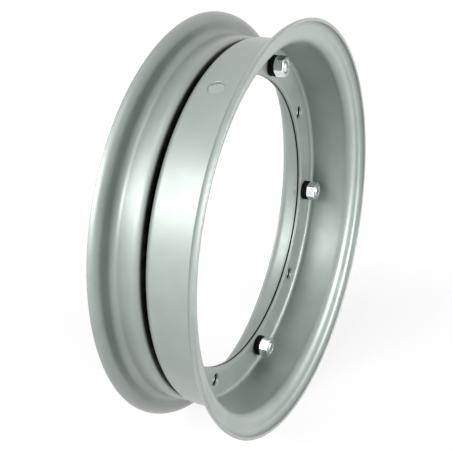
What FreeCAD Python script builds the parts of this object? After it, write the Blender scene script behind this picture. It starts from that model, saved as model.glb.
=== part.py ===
import FreeCAD, Part
import math
import os

# Split pressed steel scooter rim for a 10 inch tyre, in millimetres, +Z up.
# The wheel axis lies along Y, the nut side faces -Y, the origin is midway between the two lips.

# Pressed sheet and tyre fit
sheet = 2.2
seat_radius = 126.5
flange_height = 14.5
flange_spacing = 56.8
lip_straight = 0.55
lip_bend = 6.5
seat_fillet = 5.0
lip_edge_round = 0.6

# Webs: where the two halves meet, and the bends that turn the drums into the webs
joint_y = 6.65
wide_web_bend = 5.0
narrow_web_bend = 9.0
web_margin = 8.9

# Holes
fixing_count = 5
first_stud_angle = -22.5
hub_hole_radius = 4.5
stud_hole_clearance = 0.25
valve_hole_radius = 5.2
valve_hole_y = -9.0
valve_angle = 31.0

# Clamp fasteners
stud_radius = 4.0
stud_head_radius = 6.5
stud_head_height = 2.6
stud_head_gap = 0.4
stud_end_chamfer = 0.8
stud_beyond_nut = 0.4
washer_inset = 0.1
washer_thickness = 3.6
washer_lift = 0.7
washer_bore_clearance = 0.25
washer_split_degrees = 12.0
nut_across_flats = 13.0
nut_height = 6.8
nut_bore_clearance = 0.1
nut_turns = (9.0, 20.0, 35.0, 12.0, 49.0)

# Positions that follow from the sizes above: the stud heads sit just inside the narrow web bend,
# and the web ends a margin inside the bolt circle
lip_radius = seat_radius + flange_height
flange_y = flange_spacing / 2
lip_y = flange_y + lip_bend + lip_straight
bolt_circle_radius = seat_radius - narrow_web_bend - stud_head_gap - stud_head_radius
opening_radius = bolt_circle_radius - web_margin
stud_hole_radius = stud_radius + stud_hole_clearance
fixing_step = 360.0 / fixing_count
hub_hole_shift = fixing_step / 2
wide_web_face_y = joint_y - sheet
narrow_web_face_y = joint_y + sheet
washer_top_y = wide_web_face_y - washer_thickness - washer_lift
nut_face_y = washer_top_y - nut_height
stud_end_y = nut_face_y - stud_beyond_nut
washer_inner_radius = stud_radius + washer_bore_clearance
nut_corner_radius = nut_across_flats / math.sqrt(3)
washer_outer_radius = nut_corner_radius - washer_inset

AXIS = FreeCAD.Vector(0, 1, 0)
CENTRE = FreeCAD.Vector(0, 0, 0)


def section_point(y, r):
    """Point of the half section, drawn in the plane X = 0 above the axis."""
    return FreeCAD.Vector(0, y, r)


def heading(start, end):
    """Unit direction from one section point to another."""
    length = math.hypot(end[0] - start[0], end[1] - start[1])
    return ((end[0] - start[0]) / length, (end[1] - start[1]) / length)


def shifted_run(corners, bends, shift):
    """Corners and bend radii of the same bent sheet, measured a distance to the left of the run."""
    headings = [heading(a, b) for a, b in zip(corners, corners[1:])]
    normals = [(-d[1], d[0]) for d in headings]
    moved = [(corners[0][0] + shift * normals[0][0], corners[0][1] + shift * normals[0][1])]
    radii = []
    for i in range(1, len(corners) - 1):
        n1, n2 = normals[i - 1], normals[i]
        scale = shift / (1 + n1[0] * n2[0] + n1[1] * n2[1])
        moved.append((corners[i][0] + scale * (n1[0] + n2[0]), corners[i][1] + scale * (n1[1] + n2[1])))
        turn = headings[i - 1][0] * headings[i][1] - headings[i - 1][1] * headings[i][0]
        radii.append(bends[i - 1] - shift * math.copysign(1, turn))
    moved.append((corners[-1][0] + shift * normals[-1][0], corners[-1][1] + shift * normals[-1][1]))
    return moved, radii


def bent_edges(corners, bends):
    """Straight runs joined by round bends along a list of section corners."""
    edges = []
    start = corners[0]
    for i in range(1, len(corners) - 1):
        before = heading(corners[i - 1], corners[i])
        after = heading(corners[i], corners[i + 1])
        turn = math.acos(before[0] * after[0] + before[1] * after[1])
        reach = bends[i - 1] * math.tan(turn / 2)
        into = (corners[i][0] - before[0] * reach, corners[i][1] - before[1] * reach)
        out = (corners[i][0] + after[0] * reach, corners[i][1] + after[1] * reach)
        inward = heading(before, after)
        depth = bends[i - 1] * (1 / math.cos(turn / 2) - 1)
        middle = (corners[i][0] + inward[0] * depth, corners[i][1] + inward[1] * depth)
        edges.append(Part.LineSegment(section_point(*start), section_point(*into)).toShape())
        arc = Part.Arc(section_point(*into), section_point(*middle), section_point(*out))
        edges.append(arc.toShape())
        start = out
    edges.append(Part.LineSegment(section_point(*start), section_point(*corners[-1])).toShape())
    return edges


def pressed_sheet(corners, bends, side):
    """Solid of revolution with one sheet thickness: tyre face along the corners, back face beside it."""
    back_corners, back_bends = shifted_run(corners, bends, side * sheet)
    edges = bent_edges(corners, bends) + bent_edges(back_corners, back_bends)
    for end in (0, -1):
        face_end, back_end = section_point(*corners[end]), section_point(*back_corners[end])
        edges.append(Part.LineSegment(face_end, back_end).toShape())
    wire = Part.Wire(Part.__sortEdges__(edges))
    return Part.Face(wire).revolve(CENTRE, AXIS, 360)


def fixing_position(angle, y):
    """Point on the bolt circle, angle in degrees from straight up towards -X."""
    a = math.radians(angle)
    return FreeCAD.Vector(-bolt_circle_radius * math.sin(a), y, bolt_circle_radius * math.cos(a))


def stud_angles():
    return [first_stud_angle + fixing_step * k for k in range(fixing_count)]


def round_lip_edges(solid, y):
    """Break the two sharp rims of the sheet edge at the lip."""
    rims = [e for e in solid.Edges if abs(e.CenterOfMass.y - y) < 0.01 and abs(e.BoundBox.YLength) < 0.01]
    return solid.makeFillet(lip_edge_round, rims)


def cut_web_holes(half):
    """Stud holes and hub holes, alternating round the web."""
    for angle in stud_angles():
        stud_at = fixing_position(angle, joint_y - 2 * sheet)
        hub_at = fixing_position(angle + hub_hole_shift, joint_y - 2 * sheet)
        stud_hole = Part.makeCylinder(stud_hole_radius, 4 * sheet, stud_at, AXIS)
        hub_hole = Part.makeCylinder(hub_hole_radius, 4 * sheet, hub_at, AXIS)
        half = half.cut(stud_hole).cut(hub_hole)
    return half


def wide_rim_half():
    """Nut-side pressing: lip, flange, wide drum with the valve hole, web."""
    corners = [(-lip_y, lip_radius), (-flange_y, lip_radius), (-flange_y, seat_radius),
               (joint_y, seat_radius), (joint_y, opening_radius)]
    half = pressed_sheet(corners, [lip_bend, seat_fillet, wide_web_bend], -1)
    half = round_lip_edges(half, -lip_y)
    a = math.radians(valve_angle)
    outward = FreeCAD.Vector(-math.sin(a), 0, math.cos(a))
    start = outward * (seat_radius - 3 * sheet) + FreeCAD.Vector(0, valve_hole_y, 0)
    half = half.cut(Part.makeCylinder(valve_hole_radius, 4 * sheet, start, outward))
    return cut_web_holes(half)


def narrow_rim_half():
    """Far-side pressing: lip, flange, short bead seat, web."""
    corners = [(lip_y, lip_radius), (flange_y, lip_radius), (flange_y, seat_radius),
               (joint_y, seat_radius), (joint_y, opening_radius)]
    half = pressed_sheet(corners, [lip_bend, seat_fillet, narrow_web_bend], 1)
    half = round_lip_edges(half, lip_y)
    return cut_web_holes(half)


def clamp_stud(angle):
    """Stud with a low round head on the narrow web and a chamfered end beyond the nut."""
    shank_length = narrow_web_face_y - stud_end_y
    shank = Part.makeCylinder(stud_radius, shank_length - stud_end_chamfer,
                              fixing_position(angle, stud_end_y + stud_end_chamfer), AXIS)
    tip = Part.makeCone(stud_radius - stud_end_chamfer, stud_radius, stud_end_chamfer,
                        fixing_position(angle, stud_end_y), AXIS)
    seat = fixing_position(angle, narrow_web_face_y)
    head = Part.makeCylinder(stud_head_radius, stud_head_height, seat, AXIS)
    rim = [e for e in head.Edges if abs(e.CenterOfMass.y - narrow_web_face_y - stud_head_height) < 0.01]
    head = head.makeFillet(stud_head_height / 3, rim)
    return shank.fuse(tip).fuse(head).removeSplitter()


def spring_washer(angle):
    """One heavy coil that rises from the web to the nut, split where its ends pass each other."""
    coil_degrees = 360.0 - washer_split_degrees
    pitch = washer_lift * 360.0 / coil_degrees
    middle_radius = (washer_inner_radius + washer_outer_radius) / 2
    half_width = (washer_outer_radius - washer_inner_radius) / 2
    helix = Part.makeHelix(pitch, washer_lift, middle_radius)
    section = Part.makePolygon([
        FreeCAD.Vector(middle_radius - half_width, 0, 0),
        FreeCAD.Vector(middle_radius + half_width, 0, 0),
        FreeCAD.Vector(middle_radius + half_width, 0, washer_thickness),
        FreeCAD.Vector(middle_radius - half_width, 0, washer_thickness),
        FreeCAD.Vector(middle_radius - half_width, 0, 0)])
    coil = Part.Wire(helix.Edges).makePipeShell([section], True, True)
    coil.rotate(CENTRE, FreeCAD.Vector(1, 0, 0), 90)
    coil.translate(fixing_position(angle, wide_web_face_y))
    return coil


def clamp_nut(angle, turn):
    """Hexagon nut, corners chamfered on both faces, plain bore over the stud."""
    corners = []
    for k in range(7):
        a = math.radians(60 * k + 30 + turn)
        corners.append(FreeCAD.Vector(-nut_corner_radius * math.cos(a), 0, nut_corner_radius * math.sin(a)))
    blank = Part.Face(Part.makePolygon(corners)).extrude(AXIS * nut_height)
    drop = (nut_corner_radius - nut_across_flats / 2) * math.tan(math.radians(30))
    reach = nut_corner_radius + 0.01
    waist = Part.makeCylinder(reach, nut_height - 2 * drop, AXIS * drop, AXIS)
    lower = Part.makeCone(nut_across_flats / 2, reach, drop, CENTRE, AXIS)
    upper = Part.makeCone(reach, nut_across_flats / 2, drop, AXIS * (nut_height - drop), AXIS)
    bore = Part.makeCylinder(stud_radius + nut_bore_clearance, nut_height, CENTRE, AXIS)
    nut = blank.common(waist.fuse(lower).fuse(upper)).cut(bore)
    nut.translate(fixing_position(angle, nut_face_y))
    return nut


def save(node, solids):
    """Write one node as a STEP file, a group of solids where the piece repeats."""
    shape = solids[0] if len(solids) == 1 else Part.makeCompound(solids)
    shape.exportStep("parts/" + node + ".step")
    print(node, len(shape.Solids), "solids", round(shape.Volume, 1), "mm3", shape.isValid())


os.makedirs("parts", exist_ok=True)
save("wide_rim_half", [wide_rim_half()])
save("narrow_rim_half", [narrow_rim_half()])
save("clamp_studs", [clamp_stud(angle) for angle in stud_angles()])
save("spring_washers", [spring_washer(angle) for angle in stud_angles()])
save("clamp_nuts", [clamp_nut(angle, turn) for angle, turn in zip(stud_angles(), nut_turns)])
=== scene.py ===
import math
import bmesh
import bpy
from mathutils import Matrix, Vector


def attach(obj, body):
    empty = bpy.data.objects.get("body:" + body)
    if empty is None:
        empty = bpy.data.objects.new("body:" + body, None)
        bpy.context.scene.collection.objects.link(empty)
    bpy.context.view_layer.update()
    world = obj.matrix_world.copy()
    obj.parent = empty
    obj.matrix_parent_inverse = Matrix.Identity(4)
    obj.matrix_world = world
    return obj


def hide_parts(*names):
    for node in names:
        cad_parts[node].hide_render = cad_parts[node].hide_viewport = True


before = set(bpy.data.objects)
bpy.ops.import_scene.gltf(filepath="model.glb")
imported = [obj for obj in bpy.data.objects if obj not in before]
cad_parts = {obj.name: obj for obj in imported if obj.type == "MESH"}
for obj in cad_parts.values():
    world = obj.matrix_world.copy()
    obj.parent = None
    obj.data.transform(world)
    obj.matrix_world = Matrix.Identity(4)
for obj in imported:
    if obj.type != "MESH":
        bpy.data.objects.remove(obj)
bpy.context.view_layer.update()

# Sizes of the rim in metres, those of the solids with finer edges
sheet = 0.0022
lip_radius = 0.141
lip_y = 0.03545
flange_y = 0.0284
seat_radius = 0.1265
lip_bend = 0.0065
seat_fillet = 0.005
lip_edge = 0.0005
joint_y = 0.00665
opening_radius = 0.1017
opening_edge = 0.0004
wide_web_bend = 0.005
narrow_web_bend = 0.009

# Holes
bolt_circle_radius = 0.1106
fixing_count = 5
fixing_step = 72.0
first_stud_angle = -22.5
stud_angles = [first_stud_angle + fixing_step * k for k in range(fixing_count)]
hub_hole_angles = [angle + fixing_step / 2 for angle in stud_angles]
hub_hole_radius = 0.0045
stud_hole_radius = 0.00425
valve_hole_radius = 0.0052
valve_hole_y = -0.009
valve_angle = 31.0
punched_edge = 0.0003

# Clamp fasteners
stud_radius = 0.004
stud_head_radius = 0.0065
stud_head_height = 0.0026
stud_head_round = 0.0012
stud_chamfer = 0.0008
stud_edge = 0.0002
stud_beyond_nut = 0.0004
washer_inner_radius = 0.00425
washer_outer_radius = 0.0074
washer_thickness = 0.0036
washer_lift = 0.0007
washer_split = 12.0
washer_edge = 0.0003
nut_across_flats = 0.013
nut_height = 0.0068
nut_bore_radius = 0.0041
nut_countersink = 0.0006
nut_corner_round = 0.0003
nut_chamfer_angle = 30.0
nut_chamfer_inset = 0.0001

# Turn of each nut on its stud in degrees, as in the photo where the nut shows
nut_turns = (14.0, 20.0, 35.0, 39.0, 9.0)

# Positions that follow from the sizes above
wide_web_face_y = joint_y - sheet
narrow_web_face_y = joint_y + sheet
nut_face_y = wide_web_face_y - washer_thickness - washer_lift - nut_height
stud_end_y = nut_face_y - stud_beyond_nut
floor_z = -lip_radius
WHEEL_AXIS = Vector((0.0, 1.0, 0.0))

# Fineness of the meshes
rim_steps = 240
fastener_steps = 48
nut_cone_steps = 96
washer_steps = 58
wide_bend_steps = 12
tight_bend_steps = 10
stud_head_steps = 6
stud_edge_steps = 2
edge_steps = 3
longest_run = 0.006
run_division = 0.0035
tool_overrun = 0.001
touching = 1e-7
crease_angle = 32.0
nut_crease_angle = 20.0

# Tones of the finishes
paint_shade = (0.313, 0.359, 0.333, 1.0)
paint_middle = (0.338, 0.384, 0.357, 1.0)
paint_light = (0.364, 0.409, 0.382, 1.0)
paint_flake = (0.495, 0.533, 0.512, 1.0)
rubbed_paint = (0.50, 0.51, 0.50, 1.0)
# Black for the painted shade in the groove between the halves, and for the dark joint line between
# the webs
groove_shade_and_joint_black = (0.006, 0.0065, 0.006, 1.0)
zinc_shade = (0.62, 0.66, 0.66, 1.0)
zinc_light = (0.80, 0.83, 0.83, 1.0)
phosphate_shade = (0.004, 0.004, 0.004, 1.0)
phosphate_light = (0.013, 0.013, 0.0125, 1.0)
floor_paper = (0.25, 0.25, 0.25, 1.0)
white = (1.0, 1.0, 1.0, 1.0)

# Gloss of the finishes
paint_metal = 0.55
paint_roughness = (0.44, 0.52)
lacquer_weight = 0.7
lacquer_roughness = 0.34
lacquer_ior = 1.5
zinc_roughness = (0.18, 0.30)
painted_head_dulling = 0.22
phosphate_roughness = (0.45, 0.65)
phosphate_sheen = 0.05

# Limits between which the finishes change, in metres
rubbed_lip_radius = (0.1404, 0.1411)
# The groove limits bound where the painted shade goes
groove_wide_side_y = (0.0054, 0.0061)
groove_narrow_side_y = (0.0092, 0.0112)
tyre_side_slope = -0.9
tyre_side_radius = (0.1132, 0.1138)
joint_line_half_width = (0.0005, 0.0008)
opening_rim_radius = (0.1026, 0.1033)
hub_hole_rim_radius = (0.0049, 0.0051)
painted_head_y = (narrow_web_face_y - 0.0006, narrow_web_face_y - 0.0002)

# Studio and camera
floor_reach = 8.0
floor_fade = (0.15, 0.55)
floor_glow = (0.86, 1.0)
dim_sky = 0.01
lamp_distance = 1.25
camera_place = (-0.5101, -0.2447, 0.2160)
camera_forward = Vector((0.82976, 0.42746, -0.35886)).normalized()
camera_lens = 69.87
camera_sensor = 36.0
camera_reach = 50.0


# Mesh making

def sharp(y, radius):
    """Corner of a turned outline with no rounding."""
    return (y, radius, 0, 0)


def round_off(bm, geom, size, steps, affect):
    """Rounds corners or edges of a mesh."""
    bmesh.ops.bevel(bm, geom=geom, offset=size, offset_type='OFFSET', segments=steps,
                    profile=0.5, affect=affect, material=-1)


def turned(corners, steps):
    """Solid turned about Y from a closed outline: (along Y, radius, rounding, steps in it)."""
    bm = bmesh.new()
    ring = [bm.verts.new((0.0, y, radius)) for y, radius, rounding, cuts in corners]
    bm.faces.new(ring)
    for vert, (y, radius, rounding, cuts) in zip(ring, corners):
        if rounding:
            round_off(bm, [vert], rounding, cuts, 'VERTICES')
    bmesh.ops.delete(bm, geom=bm.faces[:], context='FACES_ONLY')
    on_axis = [e for e in bm.edges if all(abs(v.co.z) < touching for v in e.verts)]
    bmesh.ops.delete(bm, geom=on_axis, context='EDGES')
    for edge in [e for e in bm.edges if e.calc_length() > longest_run]:
        divisions = int(edge.calc_length() / run_division)
        bmesh.ops.subdivide_edges(bm, edges=[edge], cuts=divisions)
    bmesh.ops.spin(bm, geom=bm.verts[:] + bm.edges[:], cent=(0, 0, 0), axis=WHEEL_AXIS,
                   dvec=(0, 0, 0), angle=math.tau, steps=steps, use_merge=True,
                   use_duplicate=False)
    bmesh.ops.remove_doubles(bm, verts=bm.verts[:], dist=touching)
    bmesh.ops.recalc_face_normals(bm, faces=bm.faces[:])
    return bm


def as_object(bm, name):
    """Object in the scene from a bmesh, which is used up."""
    mesh = bpy.data.meshes.new(name)
    bm.to_mesh(mesh)
    bm.free()
    obj = bpy.data.objects.new(name, mesh)
    bpy.context.scene.collection.objects.link(obj)
    return obj


def discard(obj):
    """Removes a working object and its mesh."""
    mesh = obj.data
    bpy.data.objects.remove(obj)
    bpy.data.meshes.remove(mesh)


def cut_by(obj, tool_mesh, operation):
    """Boolean of a piece with a tool mesh, applied at once."""
    tool = as_object(tool_mesh, "cutting_tool")
    cut = obj.modifiers.new("cut", 'BOOLEAN')
    cut.object = tool
    cut.operation = operation
    cut.solver = 'EXACT'
    bpy.context.view_layer.update()
    evaluated = obj.evaluated_get(bpy.context.evaluated_depsgraph_get())
    result = bpy.data.meshes.new_from_object(evaluated)
    obj.modifiers.clear()
    uncut = obj.data
    obj.data = result
    bpy.data.meshes.remove(uncut)
    discard(tool)


def joined(meshes, name):
    """One bmesh out of several, for punches that cut together and fasteners that share a node."""
    group = bmesh.new()
    for bm in meshes:
        mesh = bpy.data.meshes.new(name)
        bm.to_mesh(mesh)
        bm.free()
        group.from_mesh(mesh)
        bpy.data.meshes.remove(mesh)
    return group


def finished(obj, node, finish, crease=crease_angle):
    """Shading, finish and place in the frame of a piece that stands for a CAD node."""
    mesh = obj.data
    mesh.name = obj.name
    mesh.shade_smooth()
    mesh.set_sharp_from_angle(angle=math.radians(crease))
    mesh.materials.clear()
    mesh.materials.append(finish)
    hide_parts(node)
    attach(obj, "root")


def on_bolt_circle(bm, angle, y):
    """Moves a mesh to the bolt circle, angle in degrees from the top towards -X."""
    a = math.radians(angle)
    place = Vector((-bolt_circle_radius * math.sin(a), y, bolt_circle_radius * math.cos(a)))
    bmesh.ops.translate(bm, vec=place, verts=bm.verts[:])
    return bm


def hole_tool(radius, low, high, edge):
    """Tool for a round hole between two faces along Y, with broken edges at both faces."""
    start, end = low - tool_overrun, high + tool_overrun
    mouth = radius + edge + tool_overrun
    return turned([sharp(start, 0.0), sharp(start, mouth), sharp(low + edge, radius),
                   sharp(high - edge, radius), sharp(end, mouth), sharp(end, 0.0)],
                  fastener_steps)


# Rim halves

def pressing_outline(side, web_bend):
    """Corners of the bent sheet: tyre face from lip to web, then the back face to the lip again."""
    web_back = joint_y + side * sheet
    flange_back = side * (flange_y + sheet)
    return [
        (side * lip_y, lip_radius, lip_edge, edge_steps),
        (side * flange_y, lip_radius, lip_bend, wide_bend_steps),
        (side * flange_y, seat_radius, seat_fillet, tight_bend_steps),
        (joint_y, seat_radius, web_bend, wide_bend_steps),
        (joint_y, opening_radius, opening_edge, edge_steps),
        (web_back, opening_radius, opening_edge, edge_steps),
        (web_back, seat_radius - sheet, web_bend - sheet, tight_bend_steps),
        (flange_back, seat_radius - sheet, seat_fillet + sheet, wide_bend_steps),
        (flange_back, lip_radius - sheet, lip_bend - sheet, tight_bend_steps),
        (side * lip_y, lip_radius - sheet, lip_edge, edge_steps),
    ]


def web_punches(low, high):
    """Tools for the stud holes and the hub holes of one web."""
    holes = [(angle, stud_hole_radius) for angle in stud_angles]
    holes += [(angle, hub_hole_radius) for angle in hub_hole_angles]
    return [on_bolt_circle(hole_tool(radius, low, high, punched_edge), angle, 0.0)
            for angle, radius in holes]


def valve_punch():
    """Tool for the valve hole, turned from the wheel axis to point out of the drum."""
    tool = hole_tool(valve_hole_radius, seat_radius - sheet, seat_radius, punched_edge)
    upright = Matrix.Rotation(math.pi / 2, 4, 'X')
    lean = Matrix.Rotation(-math.radians(valve_angle), 4, 'Y')
    shift = Matrix.Translation((0, valve_hole_y, 0))
    bmesh.ops.transform(tool, matrix=shift @ lean @ upright, verts=tool.verts[:])
    return tool


def wide_pressing(paint):
    """Nut-side pressing with the wide drum, the valve hole and the web holes."""
    half = as_object(turned(pressing_outline(-1, wide_web_bend), rim_steps), "wide_pressing")
    punches = web_punches(wide_web_face_y, joint_y) + [valve_punch()]
    cut_by(half, joined(punches, "punches"), 'DIFFERENCE')
    finished(half, "wide_rim_half", paint)


def narrow_pressing(paint):
    """Far-side pressing with the short bead seat and the web holes."""
    half = as_object(turned(pressing_outline(1, narrow_web_bend), rim_steps), "narrow_pressing")
    cut_by(half, joined(web_punches(joint_y, narrow_web_face_y), "punches"), 'DIFFERENCE')
    finished(half, "narrow_rim_half", paint)


# Fasteners

def stud_set(zinc):
    """Five studs, each with a chamfered end and a low rounded head on the narrow web."""
    head_top_y = narrow_web_face_y + stud_head_height
    outline = [
        sharp(stud_end_y, 0.0),
        (stud_end_y, stud_radius - stud_chamfer, stud_edge, stud_edge_steps),
        (stud_end_y + stud_chamfer, stud_radius, stud_edge, stud_edge_steps),
        sharp(narrow_web_face_y, stud_radius),
        (narrow_web_face_y, stud_head_radius, stud_edge, stud_edge_steps),
        (head_top_y, stud_head_radius, stud_head_round, stud_head_steps),
        sharp(head_top_y, 0.0),
    ]
    studs = [on_bolt_circle(turned(outline, fastener_steps), angle, 0.0) for angle in stud_angles]
    group = as_object(joined(studs, "stud_set"), "stud_set")
    finished(group, "clamp_studs", zinc)


def spring_coil():
    """One split washer coil that rises from the web to the nut."""
    bm = bmesh.new()
    section = [bm.verts.new((radius, y, 0.0)) for radius, y in (
        (washer_inner_radius, 0.0), (washer_outer_radius, 0.0),
        (washer_outer_radius, -washer_thickness), (washer_inner_radius, -washer_thickness))]
    bm.faces.new(section)
    for vert in section:
        round_off(bm, [vert], washer_edge, edge_steps, 'VERTICES')
    bmesh.ops.delete(bm, geom=bm.faces[:], context='FACES_ONLY')
    bmesh.ops.spin(bm, geom=bm.verts[:] + bm.edges[:], cent=(0, 0, 0), axis=-WHEEL_AXIS,
                   dvec=(0, -washer_lift / washer_steps, 0),
                   angle=math.radians(360.0 - washer_split), steps=washer_steps,
                   use_duplicate=False)
    bmesh.ops.holes_fill(bm, edges=[e for e in bm.edges if e.is_boundary], sides=0)
    bmesh.ops.recalc_face_normals(bm, faces=bm.faces[:])
    return bm


def washer_set(black):
    """Five spring washers between the wide web and the nuts."""
    coils = [on_bolt_circle(spring_coil(), angle, wide_web_face_y) for angle in stud_angles]
    group = as_object(joined(coils, "washer_set"), "washer_set")
    finished(group, "spring_washers", black)


def hexagon_nut(turn):
    """One nut from its outer face along Y, corners chamfered on both faces, bore countersunk."""
    corner = nut_across_flats / math.sqrt(3)
    blank = bmesh.new()
    lie = Matrix.Rotation(math.radians(turn), 4, 'Y') @ Matrix.Rotation(math.pi / 2, 4, 'X')
    bmesh.ops.create_circle(blank, cap_ends=True, segments=6, radius=corner, matrix=lie)
    raised = bmesh.ops.extrude_face_region(blank, geom=blank.faces[:], use_keep_orig=True)["geom"]
    bmesh.ops.translate(blank, vec=(0, nut_height, 0),
                        verts=[v for v in raised if isinstance(v, bmesh.types.BMVert)])
    upright = [e for e in blank.edges
               if abs(e.verts[0].co.y - e.verts[1].co.y) > nut_height / 2]
    round_off(blank, upright, nut_corner_round, edge_steps, 'EDGES')
    bmesh.ops.recalc_face_normals(blank, faces=blank.faces[:])
    nut = as_object(blank, "nut")
    drop = (corner - nut_across_flats / 2) * math.tan(math.radians(nut_chamfer_angle))
    face_radius = nut_across_flats / 2 - nut_chamfer_inset
    cone = turned([sharp(0.0, 0.0), sharp(0.0, face_radius), sharp(drop, corner),
                   sharp(nut_height - drop, corner), sharp(nut_height, face_radius),
                   sharp(nut_height, 0.0)], nut_cone_steps)
    cut_by(nut, cone, 'INTERSECT')
    cut_by(nut, hole_tool(nut_bore_radius, 0.0, nut_height, nut_countersink), 'DIFFERENCE')
    bm = bmesh.new()
    bm.from_mesh(nut.data)
    discard(nut)
    return bm


def nut_set(zinc):
    """Five nuts, each turned on its stud."""
    nuts = [on_bolt_circle(hexagon_nut(turn), angle, nut_face_y)
            for angle, turn in zip(stud_angles, nut_turns)]
    group = as_object(joined(nuts, "nut_set"), "nut_set")
    finished(group, "clamp_nuts", zinc, crease=nut_crease_angle)


# Shader nodes

def finish_of(name):
    """Empty node material, its node tree and its output."""
    material = bpy.data.materials.new(name)
    material.use_nodes = True
    tree = material.node_tree
    tree.nodes.clear()
    return material, tree, tree.nodes.new('ShaderNodeOutputMaterial')


def put(tree, kind, sockets=None, **settings):
    """Adds a node; a socket value that is itself a socket becomes a link."""
    node = tree.nodes.new(kind)
    for name, value in settings.items():
        setattr(node, name, value)
    for name, value in (sockets or {}).items():
        if isinstance(value, bpy.types.NodeSocket):
            tree.links.new(value, node.inputs[name])
        else:
            node.inputs[name].default_value = value
    return node


def maths(tree, operation, first, second=0.0, third=0.0):
    """Result of one operation on up to three values."""
    sockets = {0: first, 1: second, 2: third}
    return put(tree, 'ShaderNodeMath', sockets, operation=operation).outputs[0]


def band(tree, value, low, high, start=0.0, end=1.0):
    """Smooth step of a value between two limits."""
    sockets = {'Value': value, 'From Min': low, 'From Max': high, 'To Min': start, 'To Max': end}
    step = put(tree, 'ShaderNodeMapRange', sockets, interpolation_type='SMOOTHSTEP')
    return step.outputs['Result']


def below(tree, value, low, high):
    """1 under the lower limit, falling smoothly to 0 at the higher."""
    return band(tree, value, low, high, start=1.0, end=0.0)


def mixed(tree, factor, first, second):
    """Colour between two colours, by the colour sockets of a mix node."""
    sockets = {0: factor, 6: first, 7: second}
    return put(tree, 'ShaderNodeMix', sockets, data_type='RGBA').outputs[2]


def noise(tree, vector, scale, detail=3.0, roughness=0.5):
    """Cloudy noise between 0 and 1."""
    sockets = {'Vector': vector, 'Scale': scale, 'Detail': detail, 'Roughness': roughness}
    return put(tree, 'ShaderNodeTexNoise', sockets).outputs['Fac']


def object_place(tree):
    """Place on the piece in the frame's metres."""
    return put(tree, 'ShaderNodeTexCoord').outputs['Object']


def along_axis(tree, place):
    """How far a place lies along the wheel axis."""
    return put(tree, 'ShaderNodeSeparateXYZ', {0: place}).outputs['Y']


def length_in(tree, place, axes):
    """Distance from the origin counted along the given axes alone."""
    kept = put(tree, 'ShaderNodeVectorMath', {0: place, 1: axes}, operation='MULTIPLY').outputs[0]
    return put(tree, 'ShaderNodeVectorMath', {0: kept}, operation='LENGTH').outputs['Value']


def bumped(tree, height, strength, distance):
    """Normal of a surface with fine relief."""
    sockets = {'Strength': strength, 'Distance': distance, 'Height': height}
    return put(tree, 'ShaderNodeBump', sockets).outputs['Normal']


def shaded(tree, out, sockets):
    """Surface shader with the given sockets, joined to the output."""
    shader = put(tree, 'ShaderNodeBsdfPrincipled', sockets)
    tree.links.new(shader.outputs[0], out.inputs['Surface'])


# Finishes

def from_hub_hole(tree, place, radius):
    """Distance to the axis of the nearest hub hole, the ring folded into one sector per hole."""
    parts = put(tree, 'ShaderNodeSeparateXYZ', {0: place}).outputs
    turn = maths(tree, 'ARCTAN2', maths(tree, 'MULTIPLY', parts['X'], -1.0), parts['Z'])
    turn = maths(tree, 'SUBTRACT', turn, math.radians(hub_hole_angles[0]))
    half_sector = math.radians(fixing_step / 2)
    turn = maths(tree, 'WRAP', turn, half_sector, -half_sector)
    lean = maths(tree, 'MULTIPLY', maths(tree, 'COSINE', turn), -2.0 * bolt_circle_radius)
    lean = maths(tree, 'ADD', radius, lean)
    squared = maths(tree, 'MULTIPLY_ADD', radius, lean, bolt_circle_radius ** 2)
    return maths(tree, 'SQRT', squared)


def groove_shade_and_joint(tree, place, radius, along):
    """1 where black shade is painted into the groove between the halves, and on the dark joint line
    at the webs' edges.
    """
    # Painted shade: the groove between the halves is painted black, where shade falls
    groove = maths(tree, 'MULTIPLY', band(tree, along, *groove_wide_side_y),
                   below(tree, along, *groove_narrow_side_y))
    outward = maths(tree, 'MULTIPLY_ADD', along, tyre_side_slope, radius)
    groove = maths(tree, 'MULTIPLY', groove, band(tree, outward, *tyre_side_radius))
    # The painted shade is broken faintly into patches
    patches = band(tree, noise(tree, place, scale=160.0), 0.2, 0.6, start=0.97)
    painted_groove_shade = maths(tree, 'MULTIPLY', groove, patches)
    off_joint = maths(tree, 'ABSOLUTE', maths(tree, 'SUBTRACT', along, joint_y))
    at_opening = below(tree, radius, *opening_rim_radius)
    in_hub_hole = below(tree, from_hub_hole(tree, place, radius), *hub_hole_rim_radius)
    joint_line = maths(tree, 'MULTIPLY', below(tree, off_joint, *joint_line_half_width),
                       maths(tree, 'MAXIMUM', at_opening, in_hub_hole))
    return maths(tree, 'MAXIMUM', painted_groove_shade, joint_line)


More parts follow.
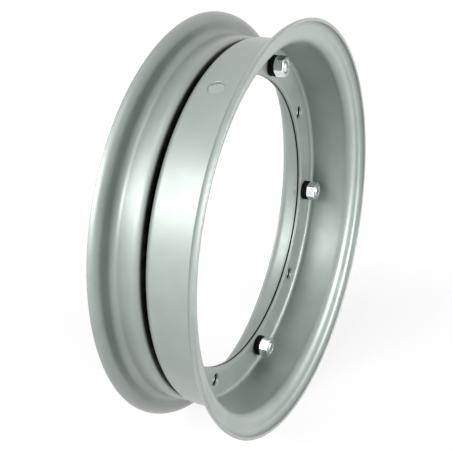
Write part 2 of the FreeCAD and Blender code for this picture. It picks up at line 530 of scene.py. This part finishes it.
def silver_paint():
    """Satin silver-grey paint: slow clouding, fine flake, orange peel, rubbed lips, black painted
    shade in the groove between the halves and a dark joint line.
    """
    material, tree, out = finish_of("silver_grey_paint")
    place = object_place(tree)
    radius = length_in(tree, place, (1.0, 0.0, 1.0))
    dark = groove_shade_and_joint(tree, place, radius, along_axis(tree, place))
    clouds = noise(tree, place, scale=28.0, roughness=0.55)
    flake = noise(tree, place, scale=3800.0, detail=1.0)
    chips = noise(tree, place, scale=420.0, detail=4.0, roughness=0.65)
    haze = noise(tree, place, scale=60.0, detail=4.0, roughness=0.6)
    peel = noise(tree, place, scale=900.0, detail=2.0)
    rubbed = maths(tree, 'MULTIPLY', band(tree, radius, *rubbed_lip_radius),
                   band(tree, chips, 0.52, 0.62, end=0.3))
    tone = mixed(tree, band(tree, clouds, 0.3, 0.7), paint_shade, paint_light)
    tone = mixed(tree, band(tree, flake, 0.35, 0.7, end=0.16), tone, paint_flake)
    tone = mixed(tree, rubbed, tone, rubbed_paint)
    # Black painted shade in the groove, and the dark joint line
    tone = mixed(tree, dark, tone, groove_shade_and_joint_black)
    relief = bumped(tree, peel, strength=0.06, distance=0.0004)
    shaded(tree, out, {
        'Base Color': tone,
        'Metallic': band(tree, dark, 0.0, 1.0, start=paint_metal),
        'Roughness': band(tree, haze, 0.25, 0.75, *paint_roughness),
        'Specular IOR Level': 0.5,
        'Coat Weight': band(tree, dark, 0.0, 1.0, start=lacquer_weight, end=0.0),
        'Coat Roughness': lacquer_roughness,
        'Coat IOR': lacquer_ior,
        'Coat Normal': relief,
        'Normal': relief,
    })
    return material


def zinc_plate():
    """Bright zinc plate, faintly clouded, with fine tool marks; stud heads painted with the rim."""
    material, tree, out = finish_of("bright_zinc_plate")
    place = object_place(tree)
    painted = band(tree, along_axis(tree, place), *painted_head_y)
    clouds = noise(tree, place, scale=350.0, roughness=0.55)
    haze = noise(tree, place, scale=700.0, roughness=0.6)
    drawn_out = put(tree, 'ShaderNodeMapping', {'Vector': place, 'Scale': (900.0, 4200.0, 900.0)})
    marks = noise(tree, drawn_out.outputs[0], scale=1.0, detail=2.0)
    tone = mixed(tree, band(tree, clouds, 0.3, 0.7), zinc_shade, zinc_light)
    tone = mixed(tree, painted, tone, paint_middle)
    gloss = band(tree, haze, 0.3, 0.7, *zinc_roughness)
    shaded(tree, out, {
        'Base Color': tone,
        'Metallic': band(tree, painted, 0.0, 1.0, start=1.0, end=paint_metal),
        'Roughness': maths(tree, 'MULTIPLY_ADD', painted, painted_head_dulling, gloss),
        'Normal': bumped(tree, marks, strength=0.08, distance=0.0001),
    })
    return material


def black_steel():
    """Black phosphated spring steel, slightly mottled."""
    material, tree, out = finish_of("black_spring_steel")
    mottle = noise(tree, object_place(tree), scale=900.0, detail=4.0, roughness=0.6)
    shaded(tree, out, {
        'Base Color': mixed(tree, band(tree, mottle, 0.35, 0.7), phosphate_shade, phosphate_light),
        'Metallic': 0.0,
        'Roughness': band(tree, mottle, 0.3, 0.7, *phosphate_roughness),
        'Specular IOR Level': phosphate_sheen,
        'Normal': bumped(tree, mottle, strength=0.1, distance=0.0001),
    })
    return material


# Studio

def seen_directly(tree):
    """1 for rays that show the backdrop itself: camera, mirror and glass rays."""
    path = put(tree, 'ShaderNodeLightPath').outputs
    either = maths(tree, 'MAXIMUM', path['Is Camera Ray'], path['Is Glossy Ray'])
    return maths(tree, 'MAXIMUM', either, path['Is Transmission Ray'])


def studio_floor():
    """Plain pale floor: white to the eye away from the rim, with the rim's soft shadow near it."""
    bm = bmesh.new()
    bmesh.ops.create_grid(bm, x_segments=1, y_segments=1, size=floor_reach)
    bmesh.ops.translate(bm, vec=(0, 0, floor_z), verts=bm.verts[:])
    floor = as_object(bm, "studio_floor")
    material, tree, out = finish_of("studio_floor_paper")
    distance = length_in(tree, object_place(tree), (1.0, 1.0, 0.0))
    lift = band(tree, distance, *floor_fade, *floor_glow)
    lift = maths(tree, 'MULTIPLY', seen_directly(tree), lift)
    paper = put(tree, 'ShaderNodeBsdfDiffuse', {'Color': floor_paper}).outputs[0]
    glow = put(tree, 'ShaderNodeEmission', {'Color': white, 'Strength': lift}).outputs[0]
    both = put(tree, 'ShaderNodeAddShader', {0: paper, 1: glow}).outputs[0]
    tree.links.new(both, out.inputs['Surface'])
    floor.data.materials.append(material)


def studio_world():
    """Surroundings that are white to the eye and in reflections, and nearly dark as a light."""
    world = bpy.data.worlds.new("studio_world")
    bpy.context.scene.world = world
    world.use_nodes = True
    tree = world.node_tree
    tree.nodes.clear()
    level = band(tree, seen_directly(tree), 0.0, 1.0, start=dim_sky)
    sky = put(tree, 'ShaderNodeBackground', {'Color': white, 'Strength': level})
    out = put(tree, 'ShaderNodeOutputWorld')
    tree.links.new(sky.outputs[0], out.inputs['Surface'])


def softbox(name, direction, width, height, watts):
    """Rectangular lamp that faces the rim from a direction."""
    lamp = bpy.data.lights.new(name, 'AREA')
    lamp.shape = 'RECTANGLE'
    lamp.size, lamp.size_y = width, height
    lamp.energy = watts
    obj = bpy.data.objects.new(name, lamp)
    away = Vector(direction).normalized()
    facing = away.to_track_quat('Z', 'Y').to_matrix().to_4x4()
    obj.matrix_world = Matrix.Translation(away * lamp_distance) @ facing
    bpy.context.scene.collection.objects.link(obj)


def photo_camera():
    """Camera at the photograph's viewing angle."""
    lens = bpy.data.cameras.new("photo_camera")
    lens.sensor_width = camera_sensor
    lens.lens = camera_lens
    lens.clip_end = camera_reach
    obj = bpy.data.objects.new("photo_camera", lens)
    right = camera_forward.cross(Vector((0, 0, 1))).normalized()
    up = right.cross(camera_forward)
    turn = Matrix((right, up, -camera_forward)).transposed().to_4x4()
    obj.matrix_world = Matrix.Translation(camera_place) @ turn
    bpy.context.scene.collection.objects.link(obj)
    bpy.context.scene.camera = obj


paint, zinc, black = silver_paint(), zinc_plate(), black_steel()
wide_pressing(paint)
narrow_pressing(paint)
stud_set(zinc)
washer_set(black)
nut_set(zinc)

studio_floor()
studio_world()
softbox("side_softbox", (-0.92, 0.06, 0.40), 0.55, 0.55, 7.8)
softbox("far_side_softbox", (-0.74, 0.52, 0.42), 0.55, 0.55, 5.7)
softbox("front_softbox", (0.14, -0.98, 0.10), 0.5, 0.3, 12.7)
softbox("top_softbox", (-0.47, 0.0, 0.88), 0.45, 0.45, 1.5)
photo_camera()
bpy.context.scene.view_settings.view_transform = 'Standard'
